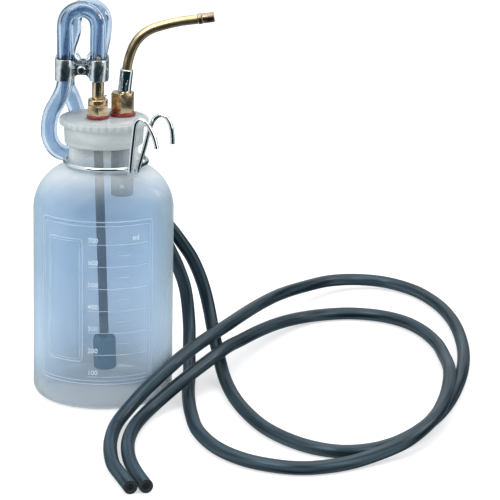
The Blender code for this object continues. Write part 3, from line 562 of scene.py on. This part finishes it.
# The lines that the rubber hoses, the clear hose's hanging bend and the wire holder follow, in mm.
RUBBER_HOSE_1 = [
    (27.7, -205.3, 4.8), (21.2, -184.6, 4.8), (15.4, -165.2, 4.8), (12.7, -146.7, 4.8), (11.2, -118.7, 4.8),
    (13.8, -88.3, 6.5), (22.6, -63.9, 11.5), (31.4, -47.7, 17.2), (39.7, -36.4, 22.4), (47.5, -24.0, 26.4),
    (54.1, -9.1, 28.4), (62.2, 8.6, 29.7), (71.9, 29.0, 31.0), (83.2, 57.2, 30.6), (92.2, 89.5, 27.6),
    (105.6, 134.9, 23.2), (121.2, 181.6, 17.8), (139.6, 221.3, 12.6), (160.0, 249.3, 9.6),
    (180.7, 261.6, 7.4), (201.4, 261.5, 5.8), (221.9, 244.9, 4.9), (237.8, 210.8, 4.8), (247.6, 166.1, 4.8),
    (251.1, 110.1, 4.8), (249.2, 63.0, 4.8), (242.6, 14.5, 4.8), (231.0, -36.0, 4.8), (219.0, -69.1, 4.8),
    (205.5, -96.8, 4.8), (190.4, -117.3, 4.8), (175.1, -128.4, 4.8), (158.4, -131.7, 4.8),
    (141.8, -125.3, 4.8), (126.8, -111.8, 4.8), (110.9, -88.3, 4.8), (98.5, -57.2, 4.8), (89.5, -24.0, 4.8),
    (82.8, 13.7, 5.6), (79.2, 37.7, 9.6), (76.8, 51.5, 15.1), (74.0, 62.0, 23.2), (70.5, 72.0, 38.0),
    (67.1, 75.5, 50.9), (62.8, 76.0, 63.3), (57.9, 74.0, 74.5), (52.5, 70.0, 84.0), (43.0, 66.5, 97.7),
    (32.8, 64.8, 109.5), (18.6, 64.8, 117.4), (2.6, 65.5, 118.4), (-12.2, 66.5, 112.3),
    (-22.5, 67.5, 100.5), (-27.3, 68.5, 85.2), (-27.0, 69.5, 67.0), (-23.0, 72.0, 48.0),
    (-20.5, 78.0, 30.0), (-18.0, 87.5, 15.5), (-16.5, 100.0, 6.8),
]

RUBBER_HOSE_2 = [
    (37.2, -203.0, 4.8), (29.4, -176.0, 4.8), (24.2, -149.3, 4.8), (22.5, -117.0, 4.8), (25.7, -86.2, 4.8),
    (32.6, -60.1, 5.6), (41.9, -42.2, 9.4), (51.4, -26.8, 13.6), (60.2, -10.5, 16.4), (68.7, 5.1, 18.6),
    (77.4, 22.1, 20.5), (84.5, 41.0, 20.2), (92.2, 65.4, 17.0), (106.0, 103.7, 12.9), (121.0, 137.4, 9.0),
    (136.0, 160.3, 6.2), (152.0, 173.5, 4.9), (172.9, 179.0, 4.8), (194.9, 174.1, 4.8), (211.5, 160.8, 4.8),
    (223.7, 139.3, 4.8), (233.0, 107.3, 4.8), (236.4, 67.6, 6.8), (236.7, 35.7, 11.4), (236.2, 13.2, 14.3),
    (234.3, -13.1, 15.0), (229.5, -48.3, 14.6), (222.5, -76.4, 12.6), (210.4, -105.9, 10.8),
    (197.8, -125.1, 8.6), (181.7, -139.2, 6.2), (163.1, -153.1, 4.8), (144.7, -162.3, 4.8),
    (132.1, -164.5, 4.8), (119.6, -162.4, 4.8), (99.9, -152.6, 4.8), (81.3, -131.6, 4.8),
    (67.2, -97.2, 4.8), (61.5, -60.8, 4.8), (59.1, -29.8, 4.8), (58.3, -6.0, 4.9), (58.3, 14.1, 5.2),
    (58.1, 32.0, 7.1), (57.5, 44.0, 12.0), (57.3, 53.0, 18.6), (57.1, 60.0, 27.0), (56.3, 64.5, 35.9),
    (55.1, 67.5, 45.8), (53.2, 68.5, 55.6), (49.5, 67.0, 67.0), (44.9, 62.5, 79.0), (37.8, 58.0, 92.6),
    (25.5, 55.5, 102.0), (10.0, 55.0, 105.6), (-5.5, 56.0, 102.2), (-18.0, 57.5, 92.8), (-25.5, 59.0, 79.3),
    (-29.0, 60.0, 65.0), (-31.0, 61.0, 50.0), (-32.5, 66.0, 32.0), (-33.0, 77.0, 15.5), (-33.0, 91.0, 6.4),
]

CLEAR_HANGING = [
    (-27.2, -0.4, 208.0), (-31.3, 5.0, 199.0), (-35.6, 11.2, 190.0), (-37.8, 17.7, 178.5),
    (-37.0, 24.7, 168.0), (-32.8, 30.5, 160.2), (-26.6, 34.6, 157.4), (-20.6, 36.2, 160.8),
    (-17.6, 35.2, 168.6), (-17.9, 32.8, 178.5), (-20.2, 31.2, 188.5), (-23.2, 24.0, 199.5),
    (-25.3, 14.0, 208.0),
]

HOLDER_LEFT = [
    (36.9, -49.0, 181.0), (35.4, -48.0, 186.9), (33.3, -46.9, 191.9), (30.7, -45.4, 196.1),
    (28.0, -44.1, 198.3), (25.2, -43.0, 198.9), (23.0, -42.1, 197.0), (22.0, -41.5, 192.4),
    (21.3, -41.0, 186.0), (20.5, -40.6, 178.5), (19.8, -40.3, 170.5), (19.3, -39.7, 165.0),
    (18.9, -38.2, 162.2), (18.4, -35.6, 161.3), (17.6, -31.0, 161.3),
]

HOLDER_RIGHT = [
    (47.0, -46.6, 184.0), (46.8, -46.2, 188.5), (46.2, -45.6, 193.4), (45.0, -44.8, 197.6),
    (42.9, -43.7, 200.8), (40.2, -42.5, 202.0), (37.2, -41.4, 201.3), (34.4, -40.5, 198.4),
    (32.3, -39.8, 193.7), (30.6, -39.3, 187.7), (28.9, -38.9, 180.9), (27.0, -38.5, 174.0),
    (25.3, -38.3, 168.0), (24.2, -37.6, 163.8), (23.4, -34.8, 161.5), (22.6, -29.5, 161.3),
]


def rubber_hose(name, rows, looks):
    line = smooth_route(in_mm(rows), 5.0 * MM)
    bore = 2.2 * MM
    section = [circle(RUBBER_RADIUS - INSET, 28)]
    # The bore is shown as a recess in each cut end, not along the whole hose.
    hose = swept(name + "_skin", line, section, looks["rubber"])
    settle(hose, "bottle", "rubber", name)
    for end, (at, before) in enumerate(((line[0], line[1]), (line[-1], line[-2]))):
        ahead = (at - before).normalized()
        cut_end(f"{name}_cut_{end + 1}", at, ahead, bore, looks["rubber_cut"])


def cut_end(name, at, ahead, bore, material):
    """The flat cut face of a hose, with its wall's edge rounded a little and its bore sunk in the middle."""
    place = ahead.to_track_quat("Z", "Y").to_matrix().to_4x4()
    place.translation = at
    outer = RUBBER_RADIUS - INSET
    disc = turned(name, [
        (0.0, -0.02 * MM), (outer, -0.02 * MM), (outer - 0.12 * MM, 0.18 * MM), (bore + 0.15 * MM, 0.22 * MM),
        (bore, 0.05 * MM), (bore - 0.05 * MM, 0.0), (0.0, 0.0),
    ], 32, material, place)
    settle(disc, "bottle", "rubber")
    return disc


# ---------------------------------------------------------------- bottle

def shoulder(inset, steps):
    centre = BOTTLE_RADIUS - SHOULDER_RADIUS
    radius = SHOULDER_RADIUS - inset
    reach = math.acos((NECK_RADIUS - inset - centre) / radius)
    return [
        (centre + radius * math.cos(reach * i / steps), SHOULDER_START + radius * math.sin(reach * i / steps))
        for i in range(steps + 1)
    ]


def make_bottle(looks):
    heel = 8.0 * MM
    # The wall's outside swells a little at its shoulder line and above the heel.
    outside = [(0.0, 0.02 * MM), (30 * MM, 0.02 * MM), (33 * MM, 0.02 * MM)]
    outside += arc((BOTTLE_RADIUS - heel, heel), heel - 0.01 * MM, -90.0, 0.0, 12)
    outside += [(46.95 * MM, 14 * MM), (46.85 * MM, 17 * MM), (46.95 * MM, 19 * MM), (46.95 * MM, 60 * MM),
                (46.95 * MM, 100 * MM), (46.95 * MM, 126.5 * MM)]
    outside += shoulder(INSET, 22)
    outside += [(NECK_RADIUS - INSET, 162 * MM), (NECK_RADIUS + 0.5 * MM, 163.2 * MM),
                (NECK_RADIUS + 0.5 * MM, 164.2 * MM), (NECK_RADIUS, 165.2 * MM), (NECK_RADIUS, 175.8 * MM)]
    rim = [(NECK_RADIUS, 185.4 * MM), (NECK_RADIUS - 0.3 * MM, 185.9 * MM),
        (NECK_RADIUS - 0.9 * MM, 185.9 * MM),
           (NECK_RADIUS - WALL, 185.4 * MM)]
    inside = arc((BOTTLE_RADIUS - heel, heel), heel - WALL, -90.0, 0.0, 8) + shoulder(WALL, 16)
    wall = turned("bottle_wall", outside + rim + inside[::-1] + [(0.0, WALL)], 128, looks["bottle"])
    settle(wall, "bottle", "polyethylene", "bottle")
    thread = neck_thread(looks["bottle"])
    settle(thread, "bottle", "polyethylene")
    make_embossing(looks["emboss"], looks["figures"])


def neck_thread(material):
    """A round crest in a helix of 4 mm pitch, one and a half turns."""
    points = []
    for i in range(97):
        angle = math.tau * 1.5 * i / 96
        points.append(Vector((
            (NECK_RADIUS + 0.1 * MM) * math.cos(angle), (NECK_RADIUS + 0.1 * MM) * math.sin(angle),
            177.0 * MM + 4.0 * MM * angle / math.tau,
        )))
    return swept("bottle_thread", points, [circle(0.62 * MM, 10)], material)


def on_wall(across, height, out=0.0):
    """The point on the bottle's front wall at that distance round from the front and that height."""
    angle = across / BOTTLE_RADIUS
    reach = BOTTLE_RADIUS + out
    return Vector((reach * math.sin(angle), -reach * math.cos(angle), height))


def wall_rib(name, route, width, material, closed=False):
    """A low round rib on the wall through (across, height) points."""
    fine = []
    pairs = list(zip(route, route[1:] + (route[:1] if closed else [])))
    pairs = pairs if closed else pairs[:len(route) - 1]
    for (a, b), (c, d) in pairs:
        steps = max(1, round(math.hypot(c - a, d - b) / (1.5 * MM)))
        fine += [(a + (c - a) * i / steps, b + (d - b) * i / steps) for i in range(steps)]
    fine.append(route[0] if closed else route[-1])
    points = [on_wall(a, b, -0.10 * MM) for a, b in fine]
    return swept(name, points, [[(x, y) for x, y in circle(width / 2, 8)]], material)


def rounded_box(left, right, low, high, corner):
    made = []
    for centre, start in (
        ((right - corner, high - corner), 0.0), ((left + corner, high - corner), 90.0),
        ((left + corner, low + corner), 180.0), ((right - corner, low + corner), 270.0),
    ):
        made += arc(centre, corner, start, start + 90.0, 4)
    return made


def make_embossing(material, figures):
    """Two frames, the two panels inside them, and the level scale with its numbers."""
    ribs = []
    for name, (left, right, low, high, corner, width) in {
        "frame_outer": (-44.5, 37.6, 19.5, 130.5, 3.0, 0.8),
        "frame_inner": (-42.3, 35.6, 21.7, 127.6, 2.2, 0.6),
        "panel_left": (-37.5, -11.6, 34.5, 118.4, 2.5, 0.8),
        "panel_left_inner": (-35.8, -13.4, 36.2, 116.7, 1.8, 0.5),
    }.items():
        route = [(x * MM, z * MM) for x, z in rounded_box(left, right, low, high, corner)]
        ribs.append(wall_rib("bottle_" + name, route, width * MM, material, True))
    for i in range(7):
        height = (24.5 + 15.1 * i) * MM
        level = [(-8.0 * MM, height), (33.5 * MM, height)]
        ribs.append(wall_rib(f"bottle_level_{i + 1}00", level, 0.5 * MM, material))
        ribs.append(wall_number(
            f"bottle_number_{i + 1}00", f"{i + 1}00", -8.0 * MM, height + 1.4 * MM, 4.6 * MM, figures))
        if i < 6:
            middle = height + 7.55 * MM
            half_level = [(12.0 * MM, middle), (20.0 * MM, middle)]
            ribs.append(wall_rib(f"bottle_half_{i + 1}50", half_level, 0.4 * MM, material))
    ribs.append(wall_number("bottle_unit", "ml", 22.0 * MM, 117.5 * MM, 5.0 * MM, figures))
    for rib in ribs:
        settle(rib, "bottle", "polyethylene")


def wall_number(name, text, left, low, size, material):
    """Raised figures that follow the wall."""
    curve = bpy.data.curves.new(name, "FONT")
    curve.body = text
    curve.size = size
    curve.extrude = 0.22 * MM
    curve.bevel_depth = 0.06 * MM
    curve.resolution_u = 3
    source = bpy.data.objects.new(name + "_source", curve)
    bpy.context.scene.collection.objects.link(source)
    bpy.context.view_layer.update()
    mesh = bpy.data.meshes.new_from_object(source.evaluated_get(bpy.context.evaluated_depsgraph_get()))
    bpy.data.objects.remove(source, do_unlink=True)
    for vertex in mesh.vertices:
        x, y, z = vertex.co
        vertex.co = on_wall(left + x, low + y, z + 0.02 * MM)
    mesh.materials.clear()
    mesh.materials.append(material)
    made = bpy.data.objects.new(name, mesh)
    bpy.context.scene.collection.objects.link(made)
    return made


# ---------------------------------------------------------------- cap

def make_cap(looks):
    plate = 2.5 * MM
    teeth = 36

    def wave(angle, radius, height):
        if radius < 29.0 * MM:
            return radius
        share = (angle * teeth / math.tau + 0.04) % 1.0
        edge = min(abs(share - 0.75), 0.25) / 0.25
        return radius - 0.9 * MM * (1.0 - max(0.0, min(1.0, (edge - 0.45) / 0.35)))

    bore = 24.4 * MM
    cap = turned("cap_shell", [
        (26.02 * MM, 173.8 * MM), (26.25 * MM, 174.6 * MM), (26.2 * MM, 176.2 * MM), (26.05 * MM, 176.6 * MM),
        (26.3 * MM, 177.0 * MM), (26.55 * MM, 182.5 * MM), (26.65 * MM, 184.6 * MM), (27.2 * MM, 185.6 * MM),
        (28.1 * MM, 186.3 * MM), (29.3 * MM, 186.55 * MM), (29.7 * MM, 186.9 * MM), (29.7 * MM, 189.7 * MM),
        (29.35 * MM, 190.25 * MM), (28.2 * MM, 190.45 * MM), (26.2 * MM, 190.45 * MM),
        (25.8 * MM, 190.15 * MM),
        (25.0 * MM, 190.15 * MM), (24.6 * MM, 190.45 * MM), (17.5 * MM, 190.45 * MM), (6.0 * MM, 190.45 * MM),
        (0.0, 190.45 * MM), (0.0, CAP_TOP - plate), (bore, CAP_TOP - plate), (bore, 173.6 * MM),
        (25.6 * MM, 173.55 * MM),
    ], 288, looks["cap"], None, 50.0, wave)
    for name, axis, radius in (("suction", SUCTION, 4.3 * MM), ("outlet", OUTLET, 4.9 * MM)):
        cutter = turned(name + "_cutter", [
            (0.0, 185 * MM), (radius, 185 * MM), (radius, 194 * MM), (0.0, 194 * MM),
        ], 32, looks["cap"], Matrix.Translation(axis))
        modifier = cap.modifiers.new(name, "BOOLEAN")
        modifier.object = cutter
        apply_modifiers(cap)
        bpy.data.objects.remove(cutter, do_unlink=True)
    settle(cap, "cap", "white_plastic", "cap")
    pip = turned("cap_gate_pip", [
        (0.0, 190.3 * MM), (2.1 * MM, 190.3 * MM), (1.5 * MM, 190.8 * MM), (1.15 * MM, 192.4 * MM),
        (0.7 * MM, 192.95 * MM), (0.0, 193.0 * MM),
    ], 20, looks["cap"], Matrix.Translation(Vector((4.2, -16.6, 0.0)) * MM))
    settle(pip, "cap", "white_plastic")


def apply_modifiers(piece):
    """Bakes the piece's modifiers into its mesh."""
    bpy.context.view_layer.update()
    mesh = bpy.data.meshes.new_from_object(piece.evaluated_get(bpy.context.evaluated_depsgraph_get()))
    piece.modifiers.clear()
    piece.data = mesh


# ---------------------------------------------------------------- outlet tube

def outlet_frame():
    lean = Matrix.Rotation(math.radians(6.0), 4, "Y")
    return Matrix.Translation(OUTLET + Vector((0.0, 0.0, 196.0 * MM))) @ lean


def make_outlet_tube(looks):
    place = outlet_frame()
    line = smooth_route(in_mm([
        (0.0, 0.0, 0.32), (0.0, 0.0, 14.0), (0.0, 0.0, 27.0), (0.6, 0.0, 33.5), (2.7, 0.0, 42.0),
        (6.5, 0.0, 48.8),
        (12.1, 0.0, 54.0), (19.8, 0.0, 57.8), (29.9, 0.0, 61.6), (42.6, 0.0, 65.0),
    ]), 1.3 * MM)
    walls = [circle(3.17 * MM, 36), circle(2.2 * MM, 36)]
    tube = swept("outlet_tube_bent", line, walls, looks["brass_tube"], place)
    settle(tube, "outlet_tube", "brass", "outlet_tube")


# ---------------------------------------------------------------- clear hose, clamp and holder

def clear_hose_route():
    right, front = SUCTION.x, SUCTION.y
    left, back = right - HOSE_SPACING, front + ROW_SPACING
    mid, reach = (left + right) / 2, HOSE_SPACING / 2

    def loop(x, radius, height):
        return [
            (x + radius * math.cos(math.radians(a)), height + radius * math.sin(math.radians(a)))
            for a in range(0, 181, 30)
        ]

    up = [Vector((right, front, z * MM)) for z in (215.9, 225.0, 235.0, 244.0)]
    over = [Vector((x, front, z)) for x, z in loop(mid, reach, 252.5 * MM)]
    down = [Vector((left, front, z * MM)) for z in (244.0, 235.0, 225.0, 215.6)]
    hanging = in_mm(CLEAR_HANGING)
    # The back loop leans a little to the right above the clamp.
    up_again = [
        Vector((left + x * MM, back, z * MM))
        for x, z in ((0.0, 214.6), (0.0, 222.0), (0.0, 230.0), (1.1, 236.0), (3.0, 241.5), (4.5, 247.5))
    ]
    leaning = loop(mid + 3.8 * MM, reach - 0.8 * MM, 253.2 * MM)
    over_again = [Vector((x, back, z)) for x, z in reversed(leaning)]
    last = [
        Vector((right + x * MM, back, z * MM))
        for x, z in ((2.6, 245.0), (1.2, 237.0), (0.0, 230.0), (0.0, 222.0), (0.0, 213.5))
    ]
    return smooth_route(up + over + down + hanging + up_again + over_again + last, 2.0 * MM)


def make_clear_hose(looks):
    walls = [circle(5.46 * MM, 32), circle(2.84 * MM, 32)]
    hose = swept("clear_hose_tube", clear_hose_route(), walls, looks["vinyl"])
    settle(hose, "cap", "clear_vinyl", "clear_hose")


def make_wire_holder(looks):
    centre, radius = Vector((1.5, -1.0, 161.3)) * MM, 27.2 * MM
    ring = [
        centre + radius * Vector((math.cos(a), math.sin(a), 0.0))
        for a in (math.radians(-54.0 - 334.0 * i / 26) for i in range(27))
    ]
    line = smooth_route(in_mm(HOLDER_LEFT) + ring + in_mm(HOLDER_RIGHT)[::-1], 1.6 * MM)
    wire = swept("wire_holder_wire", line, [circle(1.49 * MM, 20)], looks["chrome"])
    settle(wire, "wire_holder", "chrome", "wire_holder")


# ---------------------------------------------------------------- kept CAD nodes

def dress(name, material, bevel=0.12):
    """Gives a CAD node a finished material, smooth shading and broken edges."""
    node = nodes[name]
    node.data.materials.clear()
    node.data.materials.append(material)
    for polygon in node.data.polygons:
        polygon.use_smooth = True
    weld = node.modifiers.new("weld", "WELD")
    weld.merge_threshold = 2e-6
    if bevel:
        add_bevel(node, bevel * MM)
    else:
        split = node.modifiers.new("split", "EDGE_SPLIT")
        split.split_angle = math.radians(38.0)


def dress_nodes(looks):
    for name, key, bevel in (
        ("cap_gasket", "gasket", 0.1), ("suction_fitting", "brass", 0.12), ("suction_washer", "red", 0.12),
        ("suction_lock_nut", "brass", 0.12), ("vent_collar", "brass", 0.1), ("vent_pin", "chrome", 0.0),
        ("outlet_fitting", "brass", 0.14), ("outlet_washer", "red", 0.12), ("outlet_lock_nut", "brass", 0.12),
        ("outlet_sleeve", "chrome", 0.08), ("outlet_tip_ring", "bronze", 0.08),
        ("outlet_tip_sleeve", "bronze", 0.08),
        ("float_cage", "teal", 0.12), ("float_ball", "white", 0.0), ("float_seal", "red", 0.1),
        ("dip_tube", "grey", 0.08), ("foot_valve_body", "teal", 0.12), ("foot_valve_plug", "teal", 0.1),
        ("foot_valve_ball", "steel", 0.0), ("clamp_bolt", "steel", 0.1), ("clamp_washer", "steel", 0.08),
        ("clamp_wing_nut", "chrome", 0.12), ("clamp_front_strap", "strap", 0.12),
        ("clamp_back_strap", "strap", 0.12),
    ):
        dress(name, looks[key], bevel)


def main():
    set_tone()
    add_camera()
    add_world()
    add_floor()
    add_area("key", (-1.3, -1.5, 2.0), (0.0, 0.0, 0.1), (1.4, 1.4), 34.0)
    add_area("fill", (1.8, -1.2, 1.4), (0.1, 0.0, 0.1), (1.2, 1.6), 16.0)
    add_area("top", (0.1, 0.2, 2.2), (0.1, 0.0, 0.0), (2.4, 2.4), 26.0)
    add_area("edge", (1.30, 0.68, 0.70), (0.036, -0.022, 0.145), (0.16, 0.42), 2.0, (1.0, 0.80, 0.80))
    looks = make_looks()
    for name, rows in (("rubber_hose_1", RUBBER_HOSE_1), ("rubber_hose_2", RUBBER_HOSE_2)):
        rubber_hose(name, rows, looks)
    make_bottle(looks)
    make_cap(looks)
    make_outlet_tube(looks)
    make_clear_hose(looks)
    make_wire_holder(looks)
    dress_nodes(looks)


main()
